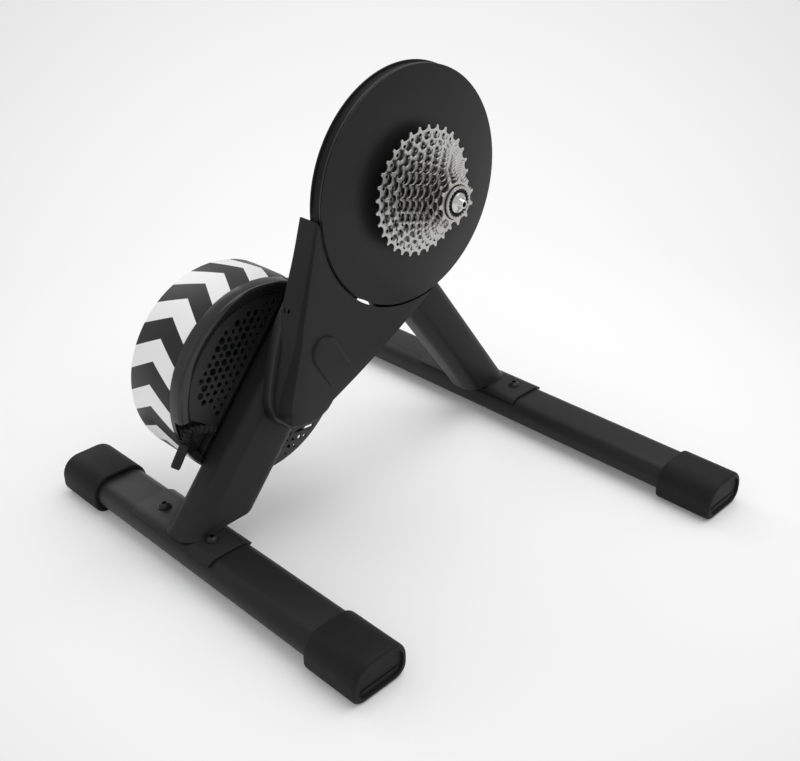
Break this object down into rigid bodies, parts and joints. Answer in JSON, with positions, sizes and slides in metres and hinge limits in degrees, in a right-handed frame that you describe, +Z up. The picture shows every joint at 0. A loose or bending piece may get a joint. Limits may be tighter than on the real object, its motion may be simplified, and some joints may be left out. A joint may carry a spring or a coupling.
{
  "type": "direct drive bike trainer",
  "caption": "Indoor cycling trainer: two oval feet, a leaning tube frame, a cassette on a belt wheel, and a low braked flywheel behind.",
  "frame": {"origin": "on the floor, at the middle of the part's box", "axes": "+X the way the bicycle points, +Z up, -Y the sprocket side, which is the bicycle's right"},
  "size_m": [0.5298, 0.624, 0.4832],
  "materials": {
    "frame_paint": "satin black powder coat",
    "moulded_black": "fine moulded texture",
    "rubber_black": "matte",
    "black_bolt": "black oxide",
    "nickel_steel": "nickel plated, stamped",
    "bare_steel": "turned",
    "black_aluminium": "black anodised",
    "red_spacer": "red-brown anodised",
    "flywheel_band": "painted chevron band",
    "copper_winding": "wound wire",
    "board_green": "printed board"
  },
  "bodies": {
    "frame": {"rear_foot_tube": "frame_paint", "front_foot_tube": "frame_paint", "rear_saddle_plate": "frame_paint", "front_saddle_plate": "frame_paint", "rear_leg": "frame_paint", "front_leg": "frame_paint", "leg_top_cap": "moulded_black", "housing_front": "moulded_black", "flywheel_cover": "moulded_black", "rear_foot_cap_near": "rubber_black", "rear_foot_cap_far": "rubber_black", "front_foot_cap_near": "rubber_black", "front_foot_cap_far": "rubber_black", "belt": "rubber_black", "strain_relief": "rubber_black", "power_connector": "rubber_black", "rear_saddle_bolt_near": "black_bolt", "rear_saddle_bolt_far": "black_bolt", "front_saddle_bolt_near": "black_bolt", "front_saddle_bolt_far": "black_bolt", "frame_bolt_lower": "black_bolt", "frame_bolt_upper": "black_bolt", "side_screw": "black_bolt", "axle_nut": "nickel_steel", "drive_end_cap": "nickel_steel", "non_drive_end_cap": "nickel_steel", "shaft_bearing_near": "nickel_steel", "shaft_bearing_far": "nickel_steel", "bearing_housing": "bare_steel", "axle": "bare_steel", "idler_bolt": "bare_steel", "brake_core": "bare_steel", "frame_plate": "black_aluminium", "brake_coil": "copper_winding", "circuit_board": "board_green"},
    "drive_wheel": {"drive_pulley": "black_aluminium", "disc_cover": "frame_paint", "ratchet_ring": "bare_steel", "pulley_bearing": "nickel_steel"},
    "cassette": {"freehub_body": "bare_steel", "pawl_ring": "nickel_steel", "freehub_bearing": "nickel_steel", "sprocket_01": "nickel_steel", "sprocket_02": "nickel_steel", "sprocket_03": "nickel_steel", "sprocket_04": "nickel_steel", "sprocket_05": "nickel_steel", "sprocket_06": "nickel_steel", "sprocket_07": "nickel_steel", "sprocket_08": "nickel_steel", "sprocket_09": "nickel_steel", "sprocket_10": "nickel_steel", "sprocket_11": "nickel_steel", "cassette_carrier": "red_spacer", "lockring": "nickel_steel"},
    "flywheel": {"small_pulley": "bare_steel", "flywheel_shaft": "bare_steel", "flywheel_drum": "flywheel_band", "flywheel_nut": "nickel_steel"},
    "idler": {"idler_pulley": "bare_steel"}
  },
  "joints": [
    {"name": "flywheel_spin", "type": "hinge", "parent": "frame", "child": "flywheel", "pos_m": [-0.1154, 0.109, 0.1619], "axis": [0, 1, 0], "continuous": true},
    {"name": "wheel_spin", "type": "hinge", "parent": "frame", "child": "drive_wheel", "pos_m": [0.0275, 0, 0.359], "axis": [0, 1, 0], "continuous": true},
    {"name": "idler_spin", "type": "hinge", "parent": "frame", "child": "idler", "pos_m": [-0.09697, -0.0126, 0.21847], "axis": [0, 1, 0], "continuous": true},
    {"name": "cassette_spin", "type": "hinge", "parent": "frame", "child": "cassette", "pos_m": [0.0275, 0, 0.359], "axis": [0, 1, 0], "continuous": true}
  ],
  "couplings": [
    {"joint": "wheel_spin", "follows": "flywheel_spin", "ratio": 0.090683},
    {"joint": "idler_spin", "follows": "flywheel_spin", "ratio": 0.54286}
  ]
}
